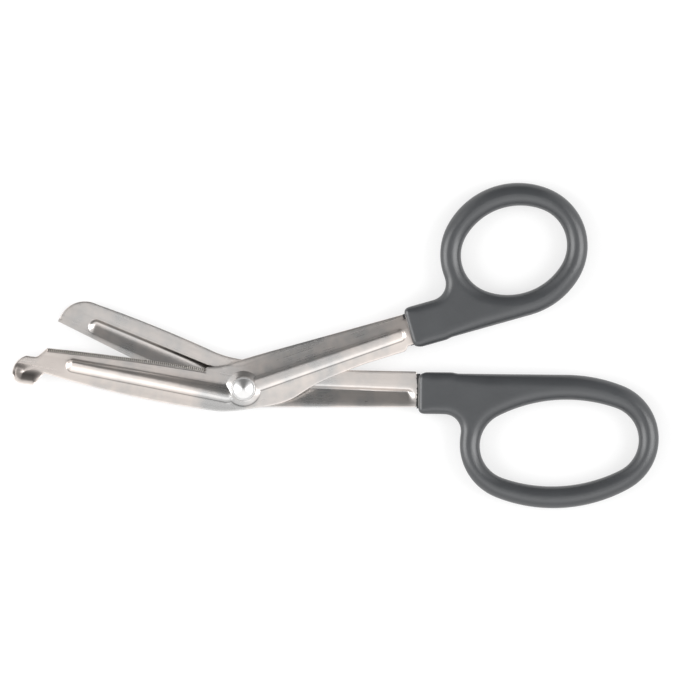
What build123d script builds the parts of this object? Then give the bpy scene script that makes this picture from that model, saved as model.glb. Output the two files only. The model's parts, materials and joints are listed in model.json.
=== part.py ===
from build123d import *
import math
import os

# Bandage scissors: two stamped steel arms on one rivet, each with a moulded loop handle.
# Lengths are millimetres, angles are degrees. The pivot is at X = Y = 0 while the pieces are
# made, the table is at Z = 0 and the two blades slide on each other half way up the handles.

# Stamped sheet of both arms
sheet_thickness = 1.5
blade_gap = 0.1
edge_land = 0.2
grind_width = 1.0
overrun = 1.0

# Serrated arm: blade, seen from the pivot along the blade and across it
serrated_direction = 172.4
serrated_reach = 57.8
serrated_edge_offset = 4.3
serrated_edge_bow = 0.4
tooth_pitch = 0.58
tooth_depth = 0.3
serrated_heel = 11.7
serrated_root_spine = 7.45
serrated_tip_spine = 3.2
serrated_spine_bow = 1.05
serrated_spine_end = 7.4
shoulder_step = 0.6

# Curled safety foot at the end of the serrated arm
foot_length = 9.3
foot_side = 7.0
foot_neck_offset = 1.2
foot_neck_setback = 2.8
foot_neck_radius = 1.6
foot_toe_radius = 3.1
foot_shoulder_radius = 5.5
foot_wall = 1.3
foot_height = 3.9
foot_curl_radius = 1.4
foot_end_setback = 2.9
foot_fade_start = 4.6
foot_fade_end = 0.4

# Serrated arm: shank and tang
front_shank_direction = 15.5
front_shank_length = 50.3
front_shank_top = 8.4
front_shank_top_start = 11.6
front_shank_bottom = 2.1
front_neck_shares = [(0.76, 1.12), (0.57, 1.5), (0.41, 2.1), (0.23, 3.26), (0.05, 3.07)]
front_ricasso_shares = [(0.54, 1.4), (0.18, 1.88)]
front_corner_setback = 2.0

# Plain arm: blade, shank and tang
plain_direction = 153.5
plain_reach = 56.9
plain_edge_offset = 6.5
plain_tip_radius = 8.0
plain_tip_drop = 1.5
plain_heel = 11.7
plain_root_spine = 5.8
plain_spine_bow = 0.38
plain_spine_end = 13.7
rear_shank_direction = 0.0
rear_shank_length = 50.4
rear_shank_top = 5.3
rear_shank_top_fall = 0.3
rear_shank_bottom = 5.4
rear_top_shares = [(0.62, 1.02), (0.4, 1.2), (0.17, 1.51), (-0.03, 1.64)]
rear_hip_shares = [(-0.16, 0.78), (-0.02, 1.04), (0.12, 1.0)]
shank_corner_radius = 1.4

# Tangs inside the handles
tang_length = 11.0
tang_inset = 1.3
tang_radius = 1.2

# Ribs pressed outwards along both arms, and the dished boss round the pivot
rib_height = 1.15
rib_side_lean = 40
rib_crown_share = 0.9
rib_wall_growth = 0.8
front_blade_rib_direction = 169.5
front_blade_rib_offset = 2.5
front_blade_rib_tip = 49.8
front_blade_rib_tip_width = 3.9
front_blade_rib_root_width = 4.8
front_shank_rib_direction = 18.8
front_shank_rib_tip = 47.8
front_shank_rib_tip_width = 3.6
front_shank_rib_root_width = 4.4
rear_blade_rib_direction = 156.7
rear_blade_rib_offset = 0.4
rear_blade_rib_tip = 46.3
rear_blade_rib_tip_width = 4.4
rear_blade_rib_root_width = 5.6
rear_shank_rib_direction = -1.3
rear_shank_rib_offset = -1.06
rear_shank_rib_tip = 47.6
rear_shank_rib_tip_width = 3.9
rear_shank_rib_root_width = 5.3
rib_root = 6.4
boss_radius = 5.1
boss_height = 1.15
boss_side_lean = 52.0
boss_wall_shift = 0.9

# Pivot rivet
rivet_radius = 2.0
rivet_running_clearance = 0.04
head_radius = 3.35
head_height = 1.2
head_rim = 0.3
head_crown_radius = 1.0
head_seat_gap = 0.05
tail_radius = 3.2
tail_rounding = 0.5

# Moulded handles, each in a frame that starts at its block's inner corner beside the shank's end.
# The band's end, side and corner widths lie between the hole and the outside of the loop.
handle_thickness = 8.0
outline_rounding = 2.1
hole_rounding = 2.3
block_end_rounding = 1.2
block_width = 11.8
crotch_radius = 4.8
pad_start = 1.6
pad_length = 10.6
pad_thickness = 3.4
pad_height = 0.35

thumb_end_gap = 0.55
thumb_edge_inset = 0.35
thumb_lean = 0.2
thumb_block_length = 13.95
thumb_loop_tilt = 3.3
thumb_hole_length = 31.3
thumb_hole_width = 25.3
thumb_hole_end_radius = 11.0
thumb_band_end = 5.95
thumb_band_side = 6.7
thumb_band_corner = 6.9
thumb_hole_offset = 0.0

finger_end_gap = 0.4
finger_edge_inset = 0.5
finger_lean = -0.6
finger_block_length = 12.1
finger_loop_tilt = -4.4
finger_hole_length = 46.2
finger_hole_width = 25.0
finger_hole_end_radius = 9.8
finger_band_end = 5.8
finger_band_side = 6.8
finger_band_corner = 6.7
finger_hole_offset = 0.45

# Heights that follow from the sizes above
blade_plane = handle_thickness / 2
front_inner = blade_plane + blade_gap / 2
front_outer = front_inner + sheet_thickness
rear_inner = blade_plane - blade_gap / 2
rear_outer = rear_inner - sheet_thickness
front_boss_top = front_outer + boss_height
rear_boss_bottom = rear_outer - boss_height


def seen_from_pivot(direction, along, across):
    """Point at a distance along a direction from the pivot and across it to its left."""
    cosine, sine = math.cos(math.radians(direction)), math.sin(math.radians(direction))
    return (along * cosine - across * sine, along * sine + across * cosine)


def serrated(along, across):
    """Point on the serrated blade; across grows from the edge towards the spine."""
    return seen_from_pivot(serrated_direction, along, across)


def front_shank(along, across):
    """Point on the serrated arm's shank; across grows towards the thumb loop."""
    return seen_from_pivot(front_shank_direction, along, across)


def plain(along, across):
    """Point on the plain blade; across grows from the spine towards the edge."""
    return seen_from_pivot(plain_direction, along, across)


def rear_shank(along, across):
    """Point on the plain arm's shank; across grows towards the serrated arm's shank."""
    return seen_from_pivot(rear_shank_direction, along, across)


def tooth_points(edge):
    """Tips and valleys of the serration along the cutting edge."""
    count = round(edge.length / tooth_pitch)
    points = []
    for tooth in range(count):
        valley = (tooth + 0.5) / count
        inward = (edge % valley).rotate(Axis.Z, -90)
        points += [edge @ (tooth / count), (edge @ valley) + inward * tooth_depth]
    return points + [edge @ 1]


def pressed_rib(root, root_width, tip, tip_width, face, up):
    """Tapering rib with round ends and a rounded crown, raised from a face."""
    rib_face = Plane(origin=(0, 0, face), x_dir=(1, 0, 0), z_dir=(0, 0, up))
    lean_in = rib_height * math.tan(math.radians(rib_side_lean))
    crown_half_width = min(root_width, tip_width) / 2 - lean_in
    crown_radius = rib_crown_share * crown_half_width / math.tan(math.radians(90 - rib_side_lean) / 2)
    with BuildPart() as rib:
        for level, narrowing in ((0, 0), (rib_height, lean_in)):
            with BuildSketch(rib_face.offset(level)):
                for place, width in ((root, root_width), (tip, tip_width)):
                    with Locations((place[0], up * place[1])):
                        Circle(width / 2 - narrowing)
                make_hull()
        loft(ruled=True)
        crown = rib.faces().filter_by(Axis.Z).sort_by(Axis(rib_face.origin, rib_face.z_dir))[-1]
        fillet(crown.edges(), radius=crown_radius)
    return rib.part


def pivot_boss(radius, face, up):
    """Cone-sided boss round the pivot, raised from a face."""
    with BuildPart() as boss:
        with BuildSketch(Plane(origin=(0, 0, face), x_dir=(1, 0, 0), z_dir=(0, 0, up))):
            Circle(radius)
        extrude(amount=boss_height, taper=boss_side_lean)
    return boss.part


def pressed_form(ribs, growth, boss_shift, face, up):
    """All that is pressed out of one face of an arm: its ribs and its boss."""
    raised = [
        pressed_rib(root, root_width + growth, tip, tip_width + growth, face, up)
        for root, root_width, tip, tip_width in ribs
    ]
    return raised + [pivot_boss(boss_radius + boss_shift, face, up)]


def edge_grind(edge, face, up):
    """Wedge that grinds the sheet down to its cutting edge, swept along the edge."""
    path = Pos(0, 0, face) * edge
    along = path % 0
    with BuildPart() as grind:
        with BuildSketch(Plane(origin=path @ 0, x_dir=Vector(0, 0, up).cross(along), z_dir=along)):
            with BuildLine():
                Polyline(
                    (overrun, edge_land),
                    (0, edge_land),
                    (-grind_width, sheet_thickness),
                    (-grind_width, sheet_thickness + overrun),
                    (overrun, sheet_thickness + overrun),
                    close=True,
                )
            make_face()
        sweep(path=path)
    return grind.part


def oval_side_radius(length, width, end_radius):
    """Radius of the two long sides of an oval made of four tangent arcs."""
    end_centre = length / 2 - end_radius
    return (end_centre**2 + width**2 / 4 - end_radius**2) / (width - 2 * end_radius)


def oval(length, width, end_radius):
    """Closed oval of four arcs that meet tangentially."""
    end_centre = length / 2 - end_radius
    side_radius = oval_side_radius(length, width, end_radius)
    side_centre = side_radius - width / 2
    turn = math.degrees(math.atan2(side_centre, end_centre))
    with BuildSketch() as outline:
        with BuildLine():
            CenterArc((end_centre, 0), end_radius, -turn, 2 * turn)
            CenterArc((0, -side_centre), side_radius, turn, 180 - 2 * turn)
            CenterArc((-end_centre, 0), end_radius, 180 - turn, 2 * turn)
            CenterArc((0, side_centre), side_radius, 180 + turn, 180 - 2 * turn)
        make_face()
    return outline.sketch


def moulded_handle(corner, slope, up, block_length, loop_tilt, hole, band, hole_offset, tang):
    """Loop handle with a block that is moulded round a tang; its straight inner edge carries a stop pad."""
    loop = (hole[0] + 2 * band[0], hole[1] + 2 * band[1], hole[2] + band[2])
    loop_place = block_length + loop[0] / 2
    turn = math.radians(slope)
    floor = Plane(
        origin=(*corner, blade_plane - up * handle_thickness / 2),
        x_dir=(math.cos(turn), math.sin(turn), 0),
        z_dir=(0, 0, up),
    )
    inner_edge = Axis(floor.origin, floor.x_dir)
    side_radius = oval_side_radius(*loop)
    side_centre = side_radius - loop[1] / 2
    touch_place = loop_place - side_centre * math.sin(math.radians(loop_tilt))
    loop_centre = side_radius - side_centre * math.cos(math.radians(loop_tilt))
    loop_outline, hole_outline = oval(*loop), oval(*hole)
    with BuildPart() as handle:
        with BuildSketch(floor) as plan:
            with Locations((loop_place, loop_centre)):
                add(loop_outline, rotation=loop_tilt)
            with BuildLine():
                Polyline((0, 0), (touch_place, 0), (loop_place, block_width), (0, block_width), close=True)
            make_face()
            crotch = plan.vertices().sort_by_distance((loop_place - loop[0] / 2, block_width))[0]
            fillet(crotch, radius=crotch_radius)
            with Locations((loop_place, loop_centre + hole_offset)):
                add(hole_outline, rotation=loop_tilt, mode=Mode.SUBTRACT)
        extrude(amount=handle_thickness)
        flat_faces = handle.faces().filter_by(Axis.Z)
        hole_edges = [edge for face in flat_faces for edge in face.inner_wires()[0].edges()]
        fillet(hole_edges, radius=hole_rounding)
        flat_faces = handle.faces().filter_by(Axis.Z)
        outlines = [face.outer_wire().edges().sort_by(inner_edge)[1:] for face in flat_faces]
        fillet([edge for outline in outlines for edge in outline], radius=outline_rounding)
        fillet(handle.faces().sort_by(inner_edge)[0].edges(), radius=block_end_rounding)
        with BuildSketch(floor.offset(handle_thickness / 2)):
            with Locations(((pad_start + pad_length) / 2, 0)):
                Rectangle(pad_length - pad_start, 2 * pad_height)
        extrude(amount=pad_thickness / 2, both=True)
        add(tang, mode=Mode.SUBTRACT)
    return handle.part


# Tang of the serrated arm, where the thumb handle is moulded round it
with BuildPart() as front_tang:
    with BuildSketch(Plane.XY.offset(front_inner)):
        with BuildLine():
            FilletPolyline(
                front_shank(front_shank_length - 2 * front_corner_setback, front_shank_top - tang_inset),
                front_shank(front_shank_length + tang_length, front_shank_top - tang_inset),
                front_shank(front_shank_length + tang_length, tang_inset - front_shank_bottom),
                front_shank(front_shank_length - 2 * front_corner_setback, tang_inset - front_shank_bottom),
                radius=[0, tang_radius, tang_radius, 0],
                close=True,
            )
        make_face()
    extrude(amount=sheet_thickness)

# Tang of the plain arm, where the finger handle is moulded round it
with BuildPart() as rear_tang:
    with BuildSketch(Plane.XY.offset(rear_outer)):
        with BuildLine():
            FilletPolyline(
                rear_shank(rear_shank_length - 2 * shank_corner_radius, rear_shank_top - 2 * tang_inset),
                rear_shank(rear_shank_length + tang_length, rear_shank_top - 2 * tang_inset),
                rear_shank(rear_shank_length + tang_length, tang_inset - rear_shank_bottom),
                rear_shank(rear_shank_length - 2 * shank_corner_radius, tang_inset - rear_shank_bottom),
                radius=[0, tang_radius, tang_radius, 0],
                close=True,
            )
        make_face()
    extrude(amount=sheet_thickness)

# Safety foot: the sheet curls up along its outer side and round its toe, and stays open towards the pivot
blade_turn = math.radians(serrated_direction)
foot_plane = Plane(
    origin=(0, 0, front_inner), x_dir=(math.cos(blade_turn), math.sin(blade_turn), 0), z_dir=(0, 0, 1)
)
toe_along = serrated_reach + foot_length
toe_across = foot_side - foot_toe_radius
shoulder_turn = math.asin((toe_across + foot_neck_offset) / foot_shoulder_radius)
shoulder_along = toe_along - foot_shoulder_radius * (1 - math.cos(shoulder_turn))
outer_curl = foot_wall + foot_curl_radius
with BuildPart() as curled_foot:
    with BuildLine(foot_plane) as foot_path:
        Line((serrated_reach, foot_side), (toe_along - foot_toe_radius, foot_side))
        CenterArc((toe_along - foot_toe_radius, toe_across), foot_toe_radius, 90, -90)
        shoulder_centre = (toe_along - foot_shoulder_radius, toe_across)
        CenterArc(shoulder_centre, foot_shoulder_radius, 0, -math.degrees(shoulder_turn))
    foot_start, foot_towards = foot_path.line @ 0, foot_path.line % 0
    with BuildSketch(Plane(origin=foot_start, x_dir=foot_plane.y_dir, z_dir=foot_towards)):
        with BuildLine():
            Line((-outer_curl, 0), (-outer_curl, sheet_thickness))
            inner_bend_end = (-foot_wall, sheet_thickness + foot_curl_radius)
            RadiusArc((-outer_curl, sheet_thickness), inner_bend_end, foot_curl_radius)
            Polyline(inner_bend_end, (-foot_wall, foot_height), (0, foot_height), (0, outer_curl))
            RadiusArc((0, outer_curl), (-outer_curl, 0), -outer_curl)
        make_face()
    sweep()
    with BuildSketch(foot_plane):
        with BuildLine():
            neck = FilletPolyline(
                (serrated_reach, serrated_tip_spine),
                (serrated_reach, -serrated_edge_offset),
                (serrated_reach + foot_neck_setback, -foot_neck_offset),
                (shoulder_along, -foot_neck_offset),
                radius=[0, foot_neck_radius],
            )
            Polyline(
                neck @ 1,
                (toe_along - outer_curl, toe_across),
                (toe_along - outer_curl, foot_side - outer_curl),
                (serrated_reach, foot_side - outer_curl),
                neck @ 0,
            )
        make_face()
    extrude(amount=sheet_thickness)
    # The free end of the curl is cut slantwise
    with BuildSketch(foot_plane):
        with BuildLine():
            Polyline(
                (serrated_reach, serrated_tip_spine),
                (serrated_reach + foot_end_setback, foot_side),
                (serrated_reach + foot_end_setback, foot_side + overrun),
                (serrated_reach - overrun, foot_side + overrun),
                (serrated_reach - overrun, serrated_tip_spine),
                close=True,
            )
        make_face()
    extrude(amount=foot_height, mode=Mode.SUBTRACT)
    # The curl fades out towards the neck
    with BuildSketch(Plane(origin=foot_plane.origin, x_dir=foot_plane.y_dir, z_dir=foot_plane.x_dir)):
        with BuildLine():
            Polyline(
                (foot_fade_start, foot_height),
                (foot_fade_end, sheet_thickness),
                (-foot_neck_offset - overrun, sheet_thickness),
                (-foot_neck_offset - overrun, foot_height + overrun),
                (foot_fade_start, foot_height + overrun),
                close=True,
            )
        make_face()
    extrude(amount=toe_along + overrun, mode=Mode.SUBTRACT)

# Serrated arm, one stamped sheet from the foot to the tang
toe = serrated(serrated_reach, -serrated_edge_offset)
edge_middle = serrated((serrated_reach + serrated_heel) / 2, -serrated_edge_offset - serrated_edge_bow)
heel = serrated(serrated_heel, -serrated_edge_offset)
spine_end = serrated(serrated_spine_end, serrated_root_spine)
spine_tip = serrated(serrated_reach, serrated_tip_spine)
spine_middle = serrated(
    (serrated_reach + serrated_spine_end) / 2,
    (serrated_root_spine + serrated_tip_spine) / 2 + serrated_spine_bow,
)
front_ribs = (
    (
        seen_from_pivot(front_blade_rib_direction, rib_root, front_blade_rib_offset),
        front_blade_rib_root_width,
        seen_from_pivot(front_blade_rib_direction, front_blade_rib_tip, front_blade_rib_offset),
        front_blade_rib_tip_width,
    ),
    (
        seen_from_pivot(front_shank_rib_direction, rib_root, 0),
        front_shank_rib_root_width,
        seen_from_pivot(front_shank_rib_direction, front_shank_rib_tip, 0),
        front_shank_rib_tip_width,
    ),
)
neck_points = [front_shank(x * front_shank_length, -y * front_shank_bottom) for x, y in front_neck_shares]
ricasso_points = [serrated(x * serrated_heel, -y * serrated_edge_offset) for x, y in front_ricasso_shares]
front_raised = pressed_form(front_ribs, 0, 0, front_outer, 1)
front_hollow = pressed_form(front_ribs, -rib_wall_growth, -boss_wall_shift, front_inner, 1)
serrated_edge = ThreePointArc(toe, edge_middle, heel)
front_grind = edge_grind(serrated_edge, front_inner, 1)
with BuildPart() as serrated_blade:
    with BuildSketch(Plane.XY.offset(front_inner)):
        with BuildLine():
            Polyline(*tooth_points(serrated_edge))
            shoulder = serrated(serrated_heel - shoulder_step, -serrated_edge_offset - shoulder_step)
            Line(heel, shoulder)
            shank_top = front_shank(front_shank_top_start, front_shank_top)
            Spline(shoulder, *ricasso_points, shank_top, tangents=[(1, 0), front_shank(1, 0)])
            shank = FilletPolyline(
                shank_top,
                front_shank(front_shank_length, front_shank_top),
                front_shank(front_shank_length - front_corner_setback, -front_shank_bottom),
                neck_points[0],
                radius=[0, shank_corner_radius],
            )
            Spline(*neck_points, spine_end, tangents=[shank % 1, serrated(1, 0)])
            ThreePointArc(spine_end, spine_middle, spine_tip)
            Line(spine_tip, toe)
        make_face()
    extrude(amount=sheet_thickness)
    add(curled_foot.part)
    add(front_tang.part)
    add(front_raised)
    add(front_hollow, mode=Mode.SUBTRACT)
    add(front_grind, mode=Mode.SUBTRACT)
    Hole(rivet_radius + rivet_running_clearance)

# Plain arm, one stamped sheet from the blunt round tip to the tang
point = plain(plain_reach, plain_edge_offset)
tip_centre_along = plain_reach - plain_tip_radius
tip_half_turn = math.radians(45)
plain_heel_place = plain(plain_heel, plain_edge_offset)
tip_start = plain(plain_reach, plain_edge_offset - plain_tip_drop)
tip_end = plain(tip_centre_along, plain_edge_offset - plain_tip_drop - plain_tip_radius)
tip_middle = plain(
    tip_centre_along + plain_tip_radius * math.sin(tip_half_turn),
    plain_edge_offset - plain_tip_drop - plain_tip_radius * math.cos(tip_half_turn),
)
plain_spine_root = plain(plain_spine_end, -plain_root_spine)
plain_spine_middle = plain(
    (tip_centre_along + plain_spine_end) / 2,
    -(plain_tip_radius + plain_tip_drop - plain_edge_offset + plain_root_spine) / 2 - plain_spine_bow,
)
rear_ribs = (
    (
        seen_from_pivot(rear_blade_rib_direction, rib_root, rear_blade_rib_offset),
        rear_blade_rib_root_width,
        seen_from_pivot(rear_blade_rib_direction, rear_blade_rib_tip, rear_blade_rib_offset),
        rear_blade_rib_tip_width,
    ),
    (
        seen_from_pivot(rear_shank_rib_direction, rib_root, rear_shank_rib_offset),
        rear_shank_rib_root_width,
        seen_from_pivot(rear_shank_rib_direction, rear_shank_rib_tip, rear_shank_rib_offset),
        rear_shank_rib_tip_width,
    ),
)
top_points = [rear_shank(x * rear_shank_length, y * rear_shank_top) for x, y in rear_top_shares]
hip_points = [rear_shank(x * rear_shank_length, -y * rear_shank_bottom) for x, y in rear_hip_shares]
rear_raised = pressed_form(rear_ribs, rib_wall_growth, 0, rear_outer, -1)
rear_hollow = pressed_form(rear_ribs, 0, -boss_wall_shift, rear_inner, -1)
rear_grind = edge_grind(Line(point, plain_heel_place), rear_inner, -1)
with BuildPart() as plain_blade:
    with BuildSketch(Plane.XY.offset(rear_outer)):
        with BuildLine():
            rear_shoulder = plain(plain_heel - shoulder_step, plain_edge_offset + shoulder_step)
            Polyline(point, plain_heel_place, rear_shoulder)
            Spline(rear_shoulder, *hip_points, tangents=[plain(-1, 0), rear_shank(1, 0)])
            FilletPolyline(
                hip_points[-1],
                rear_shank(rear_shank_length, -rear_shank_bottom),
                rear_shank(rear_shank_length, rear_shank_top - rear_shank_top_fall),
                top_points[0],
                radius=[0, shank_corner_radius],
            )
            Spline(*top_points, plain_spine_root, tangents=[rear_shank(-1, 0), plain(1, 0)])
            ThreePointArc(plain_spine_root, plain_spine_middle, tip_end)
            ThreePointArc(tip_end, tip_middle, tip_start)
            Line(tip_start, point)
        make_face()
    extrude(amount=sheet_thickness)
    add(rear_tang.part)
    add(rear_raised)
    add(rear_hollow, mode=Mode.SUBTRACT)
    add(rear_grind, mode=Mode.SUBTRACT)
    Hole(rivet_radius)

# Rivet, one turned piece: cone-topped head over the serrated arm, tail set against the plain arm
head_seat = front_boss_top + head_seat_gap
with BuildPart() as pivot_rivet:
    with BuildSketch(Plane.XZ):
        with BuildLine():
            FilletPolyline(
                (0, 0),
                (tail_radius, 0),
                (tail_radius, rear_boss_bottom),
                (rivet_radius, rear_boss_bottom),
                radius=[tail_rounding, 0],
            )
            Polyline(
                (rivet_radius, rear_boss_bottom),
                (rivet_radius, head_seat),
                (head_radius, head_seat),
                (head_radius, head_seat + head_rim),
            )
            FilletPolyline(
                (head_radius, head_seat + head_rim),
                (head_crown_radius, head_seat + head_height),
                (0, head_seat + head_height),
                radius=head_crown_radius,
            )
            Line((0, head_seat + head_height), (0, 0))
        make_face()
    revolve(axis=Axis.Z)

thumb_corner = front_shank(front_shank_length + thumb_end_gap, thumb_edge_inset - front_shank_bottom)
thumb_hole = (thumb_hole_length, thumb_hole_width, thumb_hole_end_radius)
thumb_band = (thumb_band_end, thumb_band_side, thumb_band_corner)
with BuildPart() as thumb_handle:
    add(
        moulded_handle(
            thumb_corner, front_shank_direction + thumb_lean, 1, thumb_block_length,
            thumb_loop_tilt, thumb_hole, thumb_band, thumb_hole_offset, front_tang.part,
        )
    )

finger_corner = rear_shank(
    rear_shank_length + finger_end_gap, rear_shank_top - rear_shank_top_fall - finger_edge_inset
)
finger_hole = (finger_hole_length, finger_hole_width, finger_hole_end_radius)
finger_band = (finger_band_end, finger_band_side, finger_band_corner)
with BuildPart() as finger_handle:
    add(
        moulded_handle(
            finger_corner, rear_shank_direction + finger_lean, -1, finger_block_length,
            finger_loop_tilt, finger_hole, finger_band, finger_hole_offset, rear_tang.part,
        )
    )

# The finished pieces stand on the table round the middle of their common box
pieces = (serrated_blade, plain_blade, pivot_rivet, thumb_handle, finger_handle)
box = Compound([piece.part for piece in pieces]).bounding_box()
stand = Pos(-box.center().X, -box.center().Y, -box.min.Z)
print("pivot", stand.position, "box", box.size)

os.makedirs("parts", exist_ok=True)
serrated_blade.part.label = "serrated_blade"
export_step(stand * serrated_blade.part, "parts/serrated_blade.step")
plain_blade.part.label = "plain_blade"
export_step(stand * plain_blade.part, "parts/plain_blade.step")
pivot_rivet.part.label = "pivot_rivet"
export_step(stand * pivot_rivet.part, "parts/pivot_rivet.step")
thumb_handle.part.label = "thumb_handle"
export_step(stand * thumb_handle.part, "parts/thumb_handle.step")
finger_handle.part.label = "finger_handle"
export_step(stand * finger_handle.part, "parts/finger_handle.step")
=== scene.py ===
import functools
import json
import math

import bmesh
import bpy
import numpy as np
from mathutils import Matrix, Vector, geometry, kdtree


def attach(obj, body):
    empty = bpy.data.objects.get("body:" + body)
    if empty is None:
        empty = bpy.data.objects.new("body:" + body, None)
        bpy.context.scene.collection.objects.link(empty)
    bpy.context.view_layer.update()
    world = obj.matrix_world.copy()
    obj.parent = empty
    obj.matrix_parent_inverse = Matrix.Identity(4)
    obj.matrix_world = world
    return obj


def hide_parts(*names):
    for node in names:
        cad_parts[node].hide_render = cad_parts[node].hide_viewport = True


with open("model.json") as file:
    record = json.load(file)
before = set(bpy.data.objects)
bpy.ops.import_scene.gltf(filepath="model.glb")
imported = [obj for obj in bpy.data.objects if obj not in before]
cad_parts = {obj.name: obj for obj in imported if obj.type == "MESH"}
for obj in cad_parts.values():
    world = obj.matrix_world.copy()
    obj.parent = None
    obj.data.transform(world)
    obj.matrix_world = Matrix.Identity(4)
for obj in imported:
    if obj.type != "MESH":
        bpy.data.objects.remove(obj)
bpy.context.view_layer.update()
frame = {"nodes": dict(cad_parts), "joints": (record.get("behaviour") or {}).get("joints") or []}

# The table and the light round it. The table is one wide pale sheet. Two broad soft lamps stand
# left and right and one at the near side, and the far side is a dim wall, which the steel's
# far-facing slopes reflect. The camera looks straight down.
picture_width = 0.203
picture_centre = (0.0042, -0.0013)
camera_height = 0.6
table_reach = 3.0
table_clearance = 0.00003
table_grey = 0.42
table_glow_level = 0.58
side_lamp_place = (1.3, 0.0, 0.9)
side_lamp_size = (1.0, 1.3)
side_lamp_power = 16.0
near_lamp_place = (0.0, -1.2, 1.3)
near_lamp_size = (2.2, 1.2)
near_lamp_power = 6.5
surround_level = 0.62
dim_wall_level = 0.16
dim_wall_half_width = 0.78
dim_wall_top = (0.18, 2.2)
dim_wall_foot = (2.0, 0.02)


def add_object(name, data):
    """An object in the scene with a mesh, a lamp or a camera."""
    added = bpy.data.objects.new(name, data)
    bpy.context.scene.collection.objects.link(added)
    return added


def soft_lamp(name, place, size, power):
    """A broad lamp that faces the middle of the table."""
    light = bpy.data.lights.new(name, "AREA")
    light.shape = "RECTANGLE"
    light.size, light.size_y = size
    light.energy = power
    lamp = add_object(name, light)
    lamp.location = place
    lamp.rotation_euler = (-Vector(place)).to_track_quat("-Z", "Y").to_euler()


def stage_sheet(name, corners, material):
    """A flat sheet of the studio, which isn't part of the object."""
    mesh = bpy.data.meshes.new(name)
    mesh.from_pydata(corners, [], [(0, 1, 2, 3)])
    mesh.materials.append(material)
    sheet = add_object(name, mesh)
    return sheet


class Value:
    """A socket's output, so that shader maths reads as plain arithmetic."""

    def __init__(self, finish, socket):
        self.finish, self.socket = finish, socket

    def maths(self, operation, *others):
        return self.finish.node("ShaderNodeMath", {"operation": operation}, dict(enumerate((self, *others))))

    def __add__(self, other):
        return self.maths("ADD", other)

    def __mul__(self, other):
        return self.maths("MULTIPLY", other)

    def __sub__(self, other):
        return self.maths("SUBTRACT", other)

    def __rsub__(self, other):
        return self.finish.node("ShaderNodeMath", {"operation": "SUBTRACT"}, {0: other, 1: self})

    __radd__, __rmul__ = __add__, __mul__


class Finish:
    """A node tree that is being written. Its method node adds one node with its settings and sockets."""

    def __init__(self, tree):
        self.tree = tree

    def fill(self, made, sockets):
        """Links values to the sockets of a node, and writes numbers and colours into them."""
        for name, value in sockets.items():
            if isinstance(value, Value):
                self.tree.links.new(value.socket, made.inputs[name])
            else:
                made.inputs[name].default_value = value

    def node(self, kind, settings=None, sockets=None, output=0):
        made = self.tree.nodes.new(kind)
        for name, value in (settings or {}).items():
            setattr(made, name, value)
        self.fill(made, sockets or {})
        return Value(self, made.outputs[output])

    def seen_directly(self):
        """1 for rays of the camera, of reflections and through glass, and 0 for all other light."""
        camera, glossy, through = (
            self.node("ShaderNodeLightPath", output=name)
            for name in ("Is Camera Ray", "Is Glossy Ray", "Is Transmission Ray")
        )
        return camera.maths("MAXIMUM", glossy).maths("MAXIMUM", through)


def new_material(name):
    """A material, the look that is written for it, and its shader node."""
    material = bpy.data.materials.new(name)
    material.use_nodes = True
    return material, Finish(material.node_tree), material.node_tree.nodes["Principled BSDF"]


world = bpy.data.worlds.new("white_surround")
world.use_nodes = True
bpy.context.scene.world = world
surround = Finish(world.node_tree)
surround_strength = surround.seen_directly() * (1 - surround_level) + surround_level
surround.fill(world.node_tree.nodes["Background"], {"Strength": surround_strength, "Color": (1, 1, 1, 1)})

table_material, table_look, table_shader = new_material("pale_table")
table_glow = table_look.seen_directly() * table_glow_level
table_look.fill(table_shader, {
    "Base Color": (table_grey, table_grey, table_grey, 1), "Roughness": 0.9, "Specular IOR Level": 0.0,
    "Emission Color": (1, 1, 1, 1), "Emission Strength": table_glow,
})
table_corners = [
    (x * table_reach, y * table_reach, -table_clearance) for x, y in ((-1, -1), (1, -1), (1, 1), (-1, 1))
]
stage_sheet("table", table_corners, table_material)

dim_material, dim_look, dim_shader = new_material("dim_wall")
dim_look.fill(dim_shader, {
    "Base Color": (0, 0, 0, 1), "Specular IOR Level": 0.0,
    "Emission Color": (1, 1, 1, 1), "Emission Strength": dim_wall_level,
})
dim_corners = [
    (side * dim_wall_half_width, *edge)
    for side, edge in ((-1, dim_wall_foot), (1, dim_wall_foot), (1, dim_wall_top), (-1, dim_wall_top))
]
dim_wall = stage_sheet("dim_wall", dim_corners, dim_material)
dim_wall.visible_camera = False
dim_wall.visible_diffuse = False
dim_wall.visible_shadow = False

soft_lamp("left_lamp", (-side_lamp_place[0], *side_lamp_place[1:]), side_lamp_size, side_lamp_power)
soft_lamp("right_lamp", side_lamp_place, side_lamp_size, side_lamp_power)
soft_lamp("near_lamp", near_lamp_place, near_lamp_size, near_lamp_power)

lens = bpy.data.cameras.new("camera")
lens.type = "ORTHO"
lens.ortho_scale = picture_width
camera = add_object("camera", lens)
camera.location = (*picture_centre, camera_height)
bpy.context.scene.camera = camera
bpy.context.scene.view_settings.view_transform = "Standard"

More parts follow.
